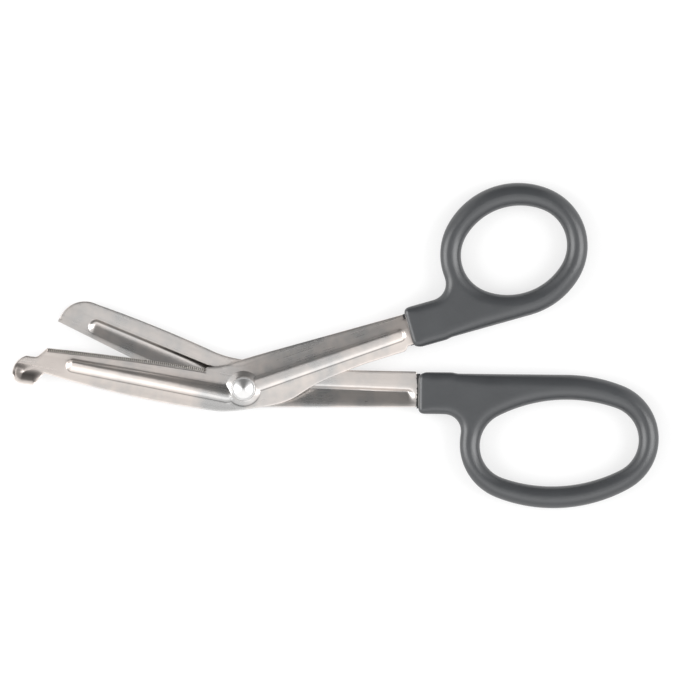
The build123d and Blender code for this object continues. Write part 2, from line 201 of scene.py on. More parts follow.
# The plain arm, the lower of the two. It is stamped from one steel sheet: a blunt round tip, a
# straight edge ground on the hidden side, two ribs pressed away from the camera, so that they
# show as grooves, a dished boss round the rivet, and a shank that enters the finger handle.
mm = 0.001
pivot = Vector(frame["joints"][0]["pos_m"])
sheet_thickness = 1.5
blade_gap = 0.1
rib_height = 1.15
boss_radius = 5.1
boss_crown_radius = 3.6
rivet_hole_radius = 2.04
rivet_hole_margin = 0.15
hole_points = 48
rib_root = 4.4
edge_land = 0.2
grind_width = 1.15
ground_margin = 0.12
tooth_length = 1.1
rim_radius = 0.3
outline_step = 0.3
least_step = 0.01
least_square = 1e-9
join_distance = 1e-6
grid_step = 0.5
ring_room, ring_gap = 0.015, 0.008
line_room, line_gap = 0.12, 0.1
grid_room, grid_gap = 0.3, 0.34
sharp_turn = math.radians(32)
arch_fall = 1.5
crease_point_step = 0.4
# Painted shade in the creases: how dark it makes the steel's colour, and how sharply it keeps to one side of
# each crease.
painted_shade_darkness = 0.75
painted_crease_lean = 1.6
crease_steps = (-0.3, -0.12, 0.0, 0.12, 0.3, 0.5, 0.75, 1.05, 1.4, 1.8, 2.2)
boss_rings = (5.4, 5.22, 5.1, 4.98, 4.8, 4.5, 4.1, 3.8, 3.6, 3.4)
boss_ring_points = 120
round_turns = tuple(math.radians(turn) for turn in (18, 36, 54, 72, 90))

plain_direction = 153.5
plain_reach = 56.9
plain_edge_offset = 6.5
plain_tip_radius = 8.0
plain_tip_drop = 1.5
plain_heel = 11.7
plain_root_spine = 5.8
plain_spine_bulge = 0.38
plain_spine_end = 13.7
rear_shank_length = 50.4
rear_shank_top = 5.3
rear_shank_top_fall = 0.3
rear_shank_bottom = 5.4
rear_top_places = ((31.2, 5.4), (20.2, 6.4), (8.6, 8.0), (-1.5, 8.7))
rear_hip_places = ((-8.1, -4.2), (-1.0, -5.6), (6.0, -5.4))
shank_corner_radius = 1.4
shoulder_step = 0.6
tang_length = 11.0
tang_inset = 1.3


def polar(direction, along, across):
    """Point at a distance along a direction from the pivot and across it to its left."""
    turn = math.radians(direction)
    return np.array(
        (along * math.cos(turn) - across * math.sin(turn), along * math.sin(turn) + across * math.cos(turn))
    )


def arc_run(start, middle, end):
    """Points along the arc through three points, from the start up to the end."""
    a, b, c = (complex(*point) for point in (start, middle, end))
    ratio = (c - a) / (b - a)
    centre = a - (a - b) * (ratio - abs(ratio) ** 2) / (2j * ratio.imag)
    radius = abs(a - centre)
    first, halfway, last = (math.atan2((p - centre).imag, (p - centre).real) for p in (a, b, c))
    turn = (last - first) % math.tau
    if (halfway - first) % math.tau > turn:
        turn -= math.tau
    count = max(2, round(abs(turn) * radius / outline_step))
    turns = first + turn * np.arange(count) / count
    return np.stack([centre.real + radius * np.cos(turns), centre.imag + radius * np.sin(turns)], 1)


def smooth_run(points, first_way, last_way):
    """Points along a smooth curve through given points that leaves and arrives in given directions."""
    points = np.array(points)
    ways = np.concatenate([
        [np.array(first_way) * np.linalg.norm(points[1] - points[0])],
        (points[2:] - points[:-2]) / 2,
        [np.array(last_way) * np.linalg.norm(points[-1] - points[-2])],
    ])
    run = []
    for p, q, leave, arrive in zip(points[:-1], points[1:], ways[:-1], ways[1:]):
        count = max(2, round(np.linalg.norm(q - p) / outline_step))
        t = (np.arange(count) / count)[:, None]
        run.append(
            (2 * t**3 - 3 * t**2 + 1) * p + (t**3 - 2 * t**2 + t) * leave
            + (3 * t**2 - 2 * t**3) * q + (t**3 - t**2) * arrive
        )
    return np.concatenate(run)


def round_corner(before, corner, after, radius):
    """Points of the arc that rounds a corner between its neighbours, both ends included."""
    before, corner, after = map(np.array, (before, corner, after))
    back, ahead = ((p - corner) / np.linalg.norm(p - corner) for p in (before, after))
    half = math.acos(back @ ahead) / 2
    centre = corner + (back + ahead) / np.linalg.norm(back + ahead) * radius / math.sin(half)
    start, end = corner + back * radius / math.tan(half), corner + ahead * radius / math.tan(half)
    middle = centre + (corner - centre) / np.linalg.norm(corner - centre) * radius
    return np.concatenate([arc_run(start, middle, end), [end]])


def evenly(points):
    """A closed outline with its long stretches divided into steps and no point twice."""
    points = points[np.linalg.norm(points - np.roll(points, 1, 0), axis=1) > least_step]
    run = []
    for p, q in zip(points, np.roll(points, -1, 0)):
        count = max(1, round(np.linalg.norm(q - p) / outline_step))
        run.append(p + (q - p) * (np.arange(count) / count)[:, None])
    return np.concatenate(run)


def inward(outline):
    """Unit vectors from a clockwise outline into what it encloses."""
    ahead = np.roll(outline, -1, 0) - np.roll(outline, 1, 0)
    right = np.stack([ahead[:, 1], -ahead[:, 0]], 1)
    return right / np.linalg.norm(right, axis=1, keepdims=True)


def spread(groups):
    """The points of several groups in order, without those that come too close to earlier ones."""
    kept, cells = [], {}
    cell = max(gap for points, gap in groups)
    for points, gap in groups:
        for x, y in points:
            column, row = int(x // cell), int(y // cell)
            near = (p for i in (-1, 0, 1) for j in (-1, 0, 1) for p in cells.get((column + i, row + j), ()))
            if all(math.hypot(x - a, y - b) >= gap for a, b in near):
                kept.append((x, y))
                cells.setdefault((column, row), []).append((x, y))
    return np.array(kept)


def distance_to(points, line):
    """Distance of each point to the nearest point of a finely divided line, and which one that is."""
    tree = kdtree.KDTree(len(line))
    for n, (x, y) in enumerate(line):
        tree.insert((x, y, 0), n)
    tree.balance()
    found = [tree.find((x, y, 0)) for x, y in points]
    return np.array([f[2] for f in found]), np.array([f[1] for f in found])


def grid_over(outline):
    """A staggered grid of points over an outline's box."""
    low, high = outline.min(0), outline.max(0)
    rows = np.arange(low[1], high[1], grid_step * math.sin(math.radians(60)))
    columns = np.arange(low[0], high[0], grid_step)
    return np.array([(x + grid_step / 2 * (n % 2), y) for n, y in enumerate(rows) for x in columns])


def inside_outline(points, outline):
    """Whether each point lies inside a closed outline."""
    x, y = points[:, 0], points[:, 1]
    inside = np.zeros(len(points), bool)
    for (ax, ay), (bx, by) in zip(outline, np.roll(outline, -1, 0)):
        if ay != by:
            inside ^= ((ay > y) != (by > y)) & (x < (bx - ax) * (y - ay) / (by - ay) + ax)
    return inside


def smooth_piece(name, mesh):
    """A piece that shades smooth, but for its sharp edges."""
    mesh.shade_smooth()
    mesh.set_sharp_from_angle(angle=sharp_turn)
    return add_object(name, mesh)


def double_skin(name, outlines, inner_points, skins):
    """Closed mesh between two skins that share a plan: its outline, its holes and the points within.
    skins gives the lower and the upper height of plan points."""
    loops, start = [], 0
    for outline in outlines:
        loops.append(list(range(start, start + len(outline))))
        start += len(outline)
    edges = [pair for loop in loops for pair in zip(loop, loop[1:] + loop[:1])]
    plan = np.concatenate([*outlines, inner_points])
    places, _, triangles, sources, _, _ = geometry.delaunay_2d_cdt(
        [Vector(point) for point in plan], edges, [], 1, join_distance, True
    )
    places = np.array([tuple(place) for place in places])
    centres = np.array([places[list(triangle)].mean(0) for triangle in triangles])
    solid = inside_outline(centres, outlines[0])
    for hole in outlines[1:]:
        solid &= ~inside_outline(centres, hole)
    vertex_of = {n: vertex for vertex, source in enumerate(sources) for n in source}
    low, high = skins(places)
    count = len(places)
    vertices = [*zip(*places.T, high), *zip(*places.T, low)]
    faces = []
    for (a, b, c), kept in zip(triangles, solid):
        if kept:
            faces += [(a, b, c), (c + count, b + count, a + count)]
    for loop in loops:
        upper = [vertex_of[n] for n in loop]
        faces += [(a, b, b + count, a + count) for a, b in zip(upper, upper[1:] + upper[:1]) if a != b]
    mesh = bpy.data.meshes.new(name)
    mesh.from_pydata([tuple(Vector(v) * mm + Vector((pivot.x, pivot.y, 0))) for v in vertices], [], faces)
    body = bmesh.new()
    body.from_mesh(mesh)
    bmesh.ops.delete(body, geom=[v for v in body.verts if not v.link_faces], context="VERTS")
    bmesh.ops.recalc_face_normals(body, faces=body.faces)
    body.to_mesh(mesh)
    body.free()
    return smooth_piece(name, mesh)


def rib(direction, across, widths, reach, **section):
    """A pressed rib: its axis from the boss to its round end, its two widths, where its ridge runs from
    crease to crease, as -1 to 1, how full and soft its section is, how high and from how far the sheet
    arches up to it, and how dark the painted shade in its crease is."""
    root, tip = polar(direction, rib_root, across), polar(direction, reach, across)
    return {"root": root, "axis": tip - root, "widths": widths, **section}


def between(pair, share):
    return pair[0] + (pair[1] - pair[0]) * share


def rib_section(points, rib, narrowing):
    """Where points lie in a rib: their offset from its axis, its half width there, and how far its
    slope has risen from the crease, from 0, to the ridge, at 1."""
    axis = rib["axis"]
    share = np.clip((points - rib["root"]) @ axis / (axis @ axis), 0, 1)
    offset = points - rib["root"] - share[:, None] * axis
    half_width = between(rib["widths"], share) / 2
    left = np.array((-axis[1], axis[0])) / np.linalg.norm(axis)
    ridge = (half_width * between(rib["ridges"], share))[:, None] * left
    from_ridge = offset - ridge
    square = (from_ridge**2).sum(1) + least_square
    lean = (ridge * from_ridge).sum(1)
    room = (half_width - narrowing) ** 2 - (ridge**2).sum(1)
    fallen = square / (np.sqrt(lean**2 + square * room) - lean)
    return offset, half_width, 1 - fallen


def rib_lines(ribs):
    """Points along both creases and the slopes of the ribs."""
    lines = []
    for rib in ribs:
        length = np.linalg.norm(rib["axis"])
        way = rib["axis"] / length
        left = np.array((-way[1], way[0]))
        for step in crease_steps:
            root_radius, tip_radius = rib["widths"][0] / 2 - step, rib["widths"][1] / 2 - step
            if tip_radius <= 0:
                continue
            shares = np.linspace(0, 1, round(length / crease_point_step))[:, None]
            across = left * between((root_radius, tip_radius), shares)
            lines += [rib["root"] + rib["axis"] * shares + side * across for side in (-1, 1)]
            count = max(5, round(tip_radius * math.pi / outline_step))
            turns = np.linspace(-math.pi / 2, math.pi / 2, count)[:, None]
            round_end = tip_radius * (way * np.cos(turns) + left * np.sin(turns))
            lines.append(rib["root"] + rib["axis"] + round_end)
    turns = np.linspace(0, math.tau, boss_ring_points, endpoint=False)
    for radius in boss_rings:
        lines.append(np.stack([radius * np.cos(turns), radius * np.sin(turns)], 1))
    return np.concatenate(lines)


def pressed(points, ribs, narrowing):
    """Height of what is pressed out of a sheet: its arch, its ribs and its boss."""
    height, arch = np.zeros(len(points)), np.zeros(len(points))
    for rib in ribs:
        offset, _, share = rib_section(points, rib, narrowing)
        share = (share + np.sqrt(share**2 + rib["softness"] ** 2)) / 2
        height = np.maximum(height, 1 - (1 - np.clip(share, 0, 1)) ** rib["fullness"])
        arch_rise, arch_reach = rib["arch"]
        reach = np.linalg.norm(offset, axis=1) / arch_reach
        arch = np.maximum(arch, arch_rise * np.clip(1 - reach, 0, 1) ** arch_fall)
    radius = np.linalg.norm(points, axis=1)
    share = (boss_radius - narrowing - radius) / (boss_radius - boss_crown_radius)
    height = np.maximum(height, np.clip(share, 0, 1))
    return arch + (rib_height - arch) * height


def plan_of(piece):
    """Where a piece's vertices lie round the pivot, seen from above."""
    return np.array([((v.co - pivot) / mm)[:2] for v in piece.data.vertices])


def keep_mark(piece, name, values):
    """Keeps a number or a vector for each vertex as an attribute, which the piece's material reads."""
    kind, field = ("FLOAT", "value") if values.ndim == 1 else ("FLOAT_VECTOR", "vector")
    marks = piece.data.attributes.new(name, kind, "POINT")
    marks.data.foreach_set(field, values.astype(np.float32).ravel())


def painted_crease_shade(points, ribs, side, place, width):
    """How dark the painted shade in the crease round the ribs and the boss is on its far side, with side 1,
    or its near side, with -1: darkest at a place within the crease, and fading over a width."""
    radius = np.linalg.norm(points, axis=1)
    depth, ahead = boss_radius - radius, points[:, 1] / np.maximum(radius, least_step)
    darkness = np.full(len(points), min(rib["shade"] for rib in ribs))
    for rib in ribs:
        offset, half_width, _ = rib_section(points, rib, 0)
        distance = np.maximum(np.linalg.norm(offset, axis=1), least_step)
        deeper = half_width - distance > depth
        depth = np.where(deeper, half_width - distance, depth)
        ahead = np.where(deeper, offset[:, 1] / distance, ahead)
        darkness = np.where(deeper, rib["shade"], darkness)
    return np.exp(-((depth - place) / width) ** 2) * np.clip(side * ahead * painted_crease_lean, 0, 1) * darkness


def grain_run(points, ribs):
    """Places along and across the arm, which turn from rib to rib as the steel's grain does."""
    run, weights = np.zeros((len(points), 3)), np.zeros((len(points), 1))
    for rib in ribs:
        offset, _, _ = rib_section(points, rib, 0)
        distance = np.maximum(np.linalg.norm(offset, axis=1), least_step)
        way = rib["axis"] / np.linalg.norm(rib["axis"]) * np.sign(rib["axis"][0])
        weight = distance[:, None] ** -4.0
        run += weight * np.stack([points @ way, points @ np.array((-way[1], way[0])), 0 * distance], 1)
        weights += weight
    return run / weights * mm


def rim_drop(depth, radius):
    """How far a rounded rim lies below its face at a depth from the outline."""
    within = np.clip(radius - depth, 0, radius)
    return radius - np.sqrt(radius**2 - within**2)


def rim_rings(outline, radius):
    """Points on the rounding of a rim, at even turns of its quarter circle."""
    ways = inward(outline)
    return np.concatenate([outline + ways * radius * (1 - math.cos(turn)) for turn in round_turns])


plain = functools.partial(polar, plain_direction)
plain_point = plain(plain_reach, plain_edge_offset)
plain_heel_place = plain(plain_heel, plain_edge_offset)
rear_shoulder = plain(plain_heel - shoulder_step, plain_edge_offset + shoulder_step)
tip_centre = plain_reach - plain_tip_radius
tip_across = plain_edge_offset - plain_tip_drop
tip_start = plain(plain_reach, tip_across)
tip_end = plain(tip_centre, tip_across - plain_tip_radius)
tip_turn = math.radians(45)
tip_middle = plain(
    tip_centre + plain_tip_radius * math.sin(tip_turn), tip_across - plain_tip_radius * math.cos(tip_turn)
)
plain_spine_root = plain(plain_spine_end, -plain_root_spine)
plain_spine_middle = plain(
    (tip_centre + plain_spine_end) / 2,
    -(plain_tip_radius - tip_across + plain_root_spine) / 2 - plain_spine_bulge,
)
rear_end_top = (rear_shank_length, rear_shank_top - rear_shank_top_fall)
rear_end_bottom = (rear_shank_length, -rear_shank_bottom)
rear_tang_top = rear_end_top[1] - tang_inset
rear_tang_bottom = tang_inset - rear_shank_bottom
rear_end = rear_shank_length + tang_length
rear_step_top = (rear_shank_length, rear_tang_top)
rear_step_bottom = (rear_shank_length, rear_tang_bottom)
towards_tip = polar(plain_direction, 1, 0)
rear_outline = evenly(np.concatenate([
    [plain_heel_place, plain_point, tip_start],
    arc_run(tip_start, tip_middle, tip_end),
    arc_run(tip_end, plain_spine_middle, plain_spine_root),
    smooth_run([plain_spine_root, *rear_top_places[::-1]], -towards_tip, (1, 0)),
    round_corner(rear_top_places[0], rear_end_top, rear_step_top, shank_corner_radius / 2),
    [rear_step_top, (rear_end, rear_tang_top), (rear_end, rear_tang_bottom), rear_step_bottom],
    round_corner(rear_step_bottom, rear_end_bottom, (0, -rear_shank_bottom), shank_corner_radius / 2),
    smooth_run([*rear_hip_places[::-1], rear_shoulder], (-1, 0), towards_tip),
    [rear_shoulder],
]))
rivet_hole = np.array([
    (rivet_hole_radius * math.cos(turn), rivet_hole_radius * math.sin(turn))
    for turn in np.linspace(0, math.tau, hole_points, endpoint=False)
])
# Each rib's shade sets how dark the painted shade in its crease is.
rear_ribs = (
    rib(
        direction=156.7, across=0.4, widths=(5.6, 4.4), reach=46.3, ridges=(-0.5, -0.4),
        fullness=2.0, softness=0.06, arch=(0.18, 7.5), shade=1,
    ),
    rib(
        direction=-1.3, across=-1.06, widths=(5.3, 3.9), reach=47.6, ridges=(0.72, 0.72),
        fullness=1.05, softness=0.45, arch=(0.12, 7), shade=0.2,
    ),
)
rear_cut_points = 150
rear_row_steps = (0.35, 0.7, 1.05, 1.2)
rear_row_margin = 4
wall_growth = 0.4
rim_start = 0.5
# Where the painted shade lies within the plain arm's creases, and how wide it spreads.
rear_painted_crease_place = 0.45
rear_painted_crease_width = 0.6
rear_cut_shares = np.linspace(0, 1, rear_cut_points)[:, None]
rear_cut = plain_heel_place + (plain_point - plain_heel_place) * rear_cut_shares


def rear_skins(points):
    """Heights of the plain arm's two faces: the camera sees the inner, hollow one."""
    depth, _ = distance_to(points, rear_outline)
    cut_depth, _ = distance_to(points, rear_cut)
    away_from_cut = np.clip(cut_depth / grind_width, 0, 1)
    rim = rim_drop(depth, rim_radius)
    inner = pressed(points, rear_ribs, 0) + rim * np.clip(cut_depth - rim_start, 0, 1)
    outer = sheet_thickness + pressed(points, rear_ribs, -wall_growth)
    outer -= rim * away_from_cut + (sheet_thickness - edge_land) * (1 - away_from_cut)
    level = pivot.z / mm - blade_gap / 2
    return level - outer, level - inner


def beyond_edge(points, edge):
    """Whether points lie clear of the ground strip along a cutting edge, or past its ends."""
    depth, nearest = distance_to(points, edge)
    return (depth > grind_width + ground_margin) | (nearest == 0) | (nearest == len(edge) - 1)


def plan_points(outline, hole, lines, edge, edge_rows):
    """The points within a plan: rows along its cutting edge, its rim's rings, its creases and a grid."""
    rings = rim_rings(outline, rim_radius)
    depth, _ = distance_to(rings, outline)
    rings = rings[(depth > ring_room) & beyond_edge(rings, edge)]
    groups = [(outline, 0), (hole, 0), (edge_rows, 0), (rings, ring_gap)]
    for points, room, gap in ((lines, line_room, line_gap), (grid_over(outline), grid_room, grid_gap)):
        points = points[inside_outline(points, outline)]
        clear_of_hole = np.linalg.norm(points, axis=1) > rivet_hole_radius + rivet_hole_margin
        points = points[clear_of_hole & beyond_edge(points, edge)]
        depth, _ = distance_to(points, outline)
        groups.append((points[depth > rim_radius + room], gap))
    return spread(groups)[len(outline) + len(hole):]


rear_cut_ways = inward(rear_cut)
rear_cut_ways[0], rear_cut_ways[-1] = rear_cut_ways[1], rear_cut_ways[-2]
rear_rows = np.concatenate([
    (rear_cut + rear_cut_ways * step)[rear_row_margin:-rear_row_margin] for step in rear_row_steps
])
plain_arm = double_skin(
    "plain_arm_sheet", [rear_outline, rivet_hole],
    plan_points(rear_outline, rivet_hole, rib_lines(rear_ribs), rear_cut, rear_rows), rear_skins,
)


tip_tint_start, tip_tint_end = 40, 56
steel_roughness = 0.29
ground_roughness = 0.42
# The tint of ground steel on the teeth: partly the ground steel's own, partly a painted highlight that lifts
# the teeth beside their shaded gaps.
ground_and_painted_highlight_tint = (0.82, 0.79, 0.75)
# The colour towards which painted shade darkens the steel in creases, the foot's hollow and tooth gaps.
painted_shade_tint = (0.06, 0.06, 0.06)


def noise(look, place, scale, detail):
    return look.node("ShaderNodeTexNoise", sockets={"Vector": place, "Scale": scale, "Detail": detail})


def steel_finish(name, warm, grey, tip_warmth):
    """Tumbled stainless steel: a soft mottling of two tints, fine lengthwise grain and faint waves, darkened
    by painted shade in its creases, and rougher and paler where a tooth is ground, the paler tint partly
    the ground steel's own and partly a painted highlight."""
    material, look, shader = new_material(name)
    place = look.node("ShaderNodeTexCoord", output="Object")
    run = look.node("ShaderNodeAttribute", {"attribute_name": "run"}, output="Vector")
    stretched = look.node("ShaderNodeMapping", sockets={"Vector": run, "Scale": (60, 2600, 2600)})
    grain = noise(look, stretched, scale=1.0, detail=3.0)
    drawn = look.node("ShaderNodeMapping", sockets={"Vector": run, "Scale": (22, 620, 620)})
    waves = noise(look, drawn, scale=1.0, detail=2.0)
    cloud = noise(look, place, scale=90.0, detail=3.0)
    blotch = noise(look, place, scale=520.0, detail=3.0)
    from_pivot = look.node("ShaderNodeVectorMath", {"operation": "DISTANCE"}, {0: place, 1: pivot}, output=1)
    tip = look.node(
        "ShaderNodeMapRange",
        sockets={"Value": from_pivot, "From Min": tip_tint_start * mm, "From Max": tip_tint_end * mm},
    )
    tint = look.node("ShaderNodeValToRGB", sockets={"Fac": cloud * 0.85 + blotch * 0.15 + tip * tip_warmth})
    ramp = tint.socket.node.color_ramp
    ramp.elements[0].position, ramp.elements[0].color = 0.38, (*grey, 1)
    ramp.elements[1].position, ramp.elements[1].color = 0.62, (*warm, 1)
    waviness = look.node("ShaderNodeBump", sockets={"Strength": 1.0, "Distance": 0.00003, "Height": waves})
    relief = grain * 0.5 + blotch * 0.6
    bump = look.node(
        "ShaderNodeBump",
        sockets={"Strength": 0.1, "Distance": 0.00002, "Height": relief, "Normal": waviness},
    )
    # The ground mark makes the toothed strip rougher, and paler by a tint that is partly the steel's own and
    # partly a painted highlight.
    ground = look.node("ShaderNodeAttribute", {"attribute_name": "ground"}, output="Fac")
    roughness = (cloud - 0.5) * 0.12 + (grain - 0.5) * 0.08 + ground * ground_roughness + steel_roughness
    # The crease mark is painted shade: it darkens the creases of the ribs and boss, the foot's hollow and
    # the gaps between teeth.
    crease = look.node("ShaderNodeAttribute", {"attribute_name": "crease"}, output="Fac")
    ground_and_painted_highlight = look.node(
        "ShaderNodeMix", {"data_type": "RGBA"}, {0: ground, 6: tint, 7: (*ground_and_painted_highlight_tint, 1)}, output=2
    )
    shaded = look.node(
        "ShaderNodeMix", {"data_type": "RGBA", "blend_type": "MULTIPLY"},
        {0: crease * painted_shade_darkness, 6: ground_and_painted_highlight, 7: (*painted_shade_tint, 1)}, output=2,
    )
    look.fill(shader, {"Base Color": shaded, "Roughness": roughness, "Normal": bump, "Metallic": 1.0})
    return material


plain_arm.data.materials.append(
    steel_finish("plain_arm_steel", warm=(0.68, 0.63, 0.595), grey=(0.52, 0.515, 0.51), tip_warmth=0)
)
plain_plan = plan_of(plain_arm)
# Painted shade on the far side of the plain arm's creases, kept as its crease mark.
rear_painted_shade = painted_crease_shade(plain_plan, rear_ribs, 1, rear_painted_crease_place, rear_painted_crease_width)
keep_mark(plain_arm, "crease", rear_painted_shade)
keep_mark(plain_arm, "run", grain_run(plain_plan, rear_ribs))
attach(plain_arm, "plain_arm")
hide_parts("plain_blade")

# The serrated arm, the upper of the two, stamped from the same sheet. Its ribs and boss are
# pressed towards the camera. Small V-shaped teeth are ground across the bevel of its edge, and
# its end is curled up along one side and round the toe into a blunt scoop that guards the skin.
serrated_direction = 172.4
serrated_reach = 57.8
serrated_edge_offset = 4.3
serrated_edge_bulge = 0.4
tooth_pitch = 0.58
tooth_depth = 0.3
tooth_groove = 0.42
# Painted shade in the gaps between teeth: how dark it is.
tooth_gap_painted_shade = 1.25
tooth_row_steps = (0.5, 0.8, tooth_length, grind_width + 0.06, grind_width + 0.2)
ground_fade = 0.25
ground_past_teeth = 0.05
edge_end_margin = 0.05
edge_wear = 0.03
least_wall = 0.15
serrated_heel = 11.7
serrated_root_spine = 7.45
serrated_tip_spine = 3.2
serrated_spine_bulge = 1.05
serrated_spine_end = 7.4
foot_length = 9.3
foot_side = 7.0
foot_neck_offset = 1.2
foot_neck_setback = 2.8
foot_neck_radius = 1.6
foot_toe_radius = 3.1
foot_shoulder_radius = 5.5
foot_wall = 0.8
foot_height = 3.9
foot_bowl = 3.7
foot_bowl_fullness = 1.7
# Painted shade in the hollow of the foot: how dark it is.
foot_bowl_painted_shade = 0.9
foot_row_steps = (0.65, 0.8, 0.95, 1.15, 1.4, 1.7, 2.0, 2.35, 2.7, 3.1, 3.5, 3.9, 4.3)
foot_side_points = 20
# Where the painted shade in the foot's hollow starts and fades.
foot_painted_shade_wall_fade = 0.5
foot_painted_shade_reach, foot_painted_shade_fade = 4.2, 1.5
foot_painted_shade_start, foot_painted_shade_across = 1.5, 1.6
foot_back_curl = 2.7
foot_end_setback = 2.9
foot_fade_start = 5.0
foot_fade_end = 1.2
front_shank_direction = 15.5
front_shank_length = 50.3
front_shank_top = 8.4
front_shank_top_start = 11.6
front_shank_bottom = 2.1
front_neck_places = ((38.2, -2.4), (28.7, -3.2), (20.6, -4.4), (11.6, -6.8), (2.5, -6.4))
front_ricasso_places = ((6.3, -6.0), (2.1, -8.1))
front_corner_setback = 2.0
# Where the painted shade lies within the serrated arm's creases, and how wide it spreads.
front_painted_crease_place = 0.04
front_painted_crease_width = 0.2

serrated = functools.partial(polar, serrated_direction)
front_shank = functools.partial(polar, front_shank_direction)
toe = serrated(serrated_reach, -serrated_edge_offset)
edge_middle = serrated((serrated_reach + serrated_heel) / 2, -serrated_edge_offset - serrated_edge_bulge)
heel = serrated(serrated_heel, -serrated_edge_offset)
edge_run = np.concatenate([arc_run(toe, edge_middle, heel), [heel]])
edge_lengths = np.concatenate([[0], np.cumsum(np.linalg.norm(np.diff(edge_run, axis=0), axis=1))])
tooth_count = round(edge_lengths[-1] / tooth_pitch)
half_places = np.linspace(0, edge_lengths[-1], 2 * tooth_count + 1)
tooth_feet = np.stack([np.interp(half_places, edge_lengths, edge_run[:, n]) for n in (0, 1)], 1)
tooth_ways = inward(tooth_feet)
tooth_ways[0], tooth_ways[-1] = tooth_ways[1], tooth_ways[-2]
tooth_row = tooth_feet + tooth_ways * tooth_depth * (np.arange(len(tooth_feet)) % 2)[:, None]
spine_end = serrated(serrated_spine_end, serrated_root_spine)
spine_tip = serrated(serrated_reach, serrated_tip_spine)
spine_middle = serrated(
    (serrated_reach + serrated_spine_end) / 2,
    (serrated_root_spine + serrated_tip_spine) / 2 + serrated_spine_bulge,
)
front_shoulder = serrated(serrated_heel - shoulder_step, -serrated_edge_offset - shoulder_step)
front_top_start = front_shank(front_shank_top_start, front_shank_top)
front_end_top = front_shank(front_shank_length, front_shank_top)
front_end_bottom = front_shank(front_shank_length - front_corner_setback, -front_shank_bottom)
front_tang_top = front_shank_top - tang_inset
front_tang_bottom = tang_inset - front_shank_bottom
front_end = front_shank_length + tang_length
front_step_bottom = front_shank(front_shank_length - front_corner_setback / 2, front_tang_bottom)
toe_along = serrated_reach + foot_length
toe_across = foot_side - foot_toe_radius
shoulder_turn = math.asin((toe_across + foot_neck_offset) / foot_shoulder_radius)
shoulder_along = toe_along - foot_shoulder_radius * (1 - math.cos(shoulder_turn))


def foot_arc(centre_along, radius, first, last):
    """Three points of an arc of the foot's outline, seen along and across the blade."""
    turns = (first, (first + last) / 2, last)
    return [
        serrated(centre_along + radius * math.cos(turn), toe_across + radius * math.sin(turn))
        for turn in turns
    ]


foot_run = np.concatenate([
    np.linspace(
        serrated(serrated_reach + foot_end_setback, foot_side),
        serrated(toe_along - foot_toe_radius, foot_side), foot_side_points, endpoint=False,
    ),
    arc_run(*foot_arc(toe_along - foot_toe_radius, foot_toe_radius, math.pi / 2, 0)),
    arc_run(*foot_arc(toe_along - foot_shoulder_radius, foot_shoulder_radius, 0, -shoulder_turn)),
    [serrated(shoulder_along, -foot_neck_offset)],
])
front_outline = np.concatenate([
    tooth_row[:-1],
    evenly(np.concatenate([
        [heel, front_shoulder],
        smooth_run(
            [front_shoulder, *[serrated(*place) for place in front_ricasso_places], front_top_start],
            (1, 0), front_shank(1, 0),
        ),
        [front_top_start, front_end_top, front_shank(front_shank_length, front_tang_top),
         front_shank(front_end, front_tang_top), front_shank(front_end, front_tang_bottom),
         front_step_bottom],
        round_corner(
            front_step_bottom, front_end_bottom, front_shank(0, -front_shank_bottom), shank_corner_radius
        ),
        smooth_run(
            [front_shank(*place) for place in front_neck_places] + [spine_end],
            -front_shank(1, 0), serrated(1, 0),
        ),
        arc_run(spine_end, spine_middle, spine_tip),
        [spine_tip],
        foot_run,
        round_corner(
            foot_run[-1], serrated(serrated_reach + foot_neck_setback, -foot_neck_offset), toe,
            foot_neck_radius,
        ),
        [toe],
    ]))[:-1],
])
# Each rib's shade sets how dark the painted shade in its crease is.
front_ribs = (
    rib(
        direction=169.5, across=2.5, widths=(4.9, 3.8), reach=49.8, ridges=(0.15, -0.5),
        fullness=2.2, softness=0.06, arch=(0.12, 7), shade=1,
    ),
    rib(
        direction=18.8, across=0, widths=(4.4, 3.6), reach=47.8, ridges=(0.45, 0.5),
        fullness=2.4, softness=0.06, arch=(0.9, 10.5), shade=1,
    ),
)


def front_skins(points):
    """Heights of the serrated arm's two faces: the camera sees the outer, raised one."""
    depth, _ = distance_to(points, front_outline)
    edge_depth, nearest = distance_to(points, tooth_feet)
    along, across = points @ serrated(1, 0), points @ serrated(0, 1)
    middle, half_edge = (serrated_reach + serrated_heel) / 2, (serrated_reach - serrated_heel) / 2
    bow = 1 - ((along - middle) / half_edge) ** 2
    off_edge = np.abs(across + serrated_edge_offset + serrated_edge_bulge * bow)
    beside_edge = (along > serrated_heel + edge_end_margin) & (along < serrated_reach - edge_end_margin)
    off_edge = np.where(beside_edge, off_edge, 2 * grind_width)
    rim = np.where(beside_edge & (edge_depth < grind_width), 0, rim_drop(depth, rim_radius))
    outer = sheet_thickness + pressed(points, front_ribs, 0) - rim
    outer -= (sheet_thickness - edge_land) * (1 - np.clip(off_edge / grind_width, 0, 1))
    groove = (nearest % 2) * np.clip(1 - (off_edge - tooth_depth) / (tooth_length - tooth_depth), 0, 1)
    outer -= np.where(off_edge < tooth_length, tooth_groove * groove, 0)
    outer = np.maximum(outer, edge_land - edge_wear)
    inner = pressed(points, front_ribs, wall_growth) + rim
    foot_depth, _ = distance_to(points, foot_run)
    fade = np.clip((across - foot_fade_end) / (foot_fade_start - foot_fade_end), 0, 1)
    fade = fade * fade * (3 - 2 * fade)
    bowl = np.clip(1 - (foot_depth - foot_wall) / foot_bowl, 0, 1)
    rise = bowl**foot_bowl_fullness * fade
    outer += (foot_height - sheet_thickness) * rise
    inner += rim_drop(foot_depth, foot_back_curl) * fade
    level = pivot.z / mm + blade_gap / 2
    return level + np.minimum(inner, outer - least_wall), level + outer


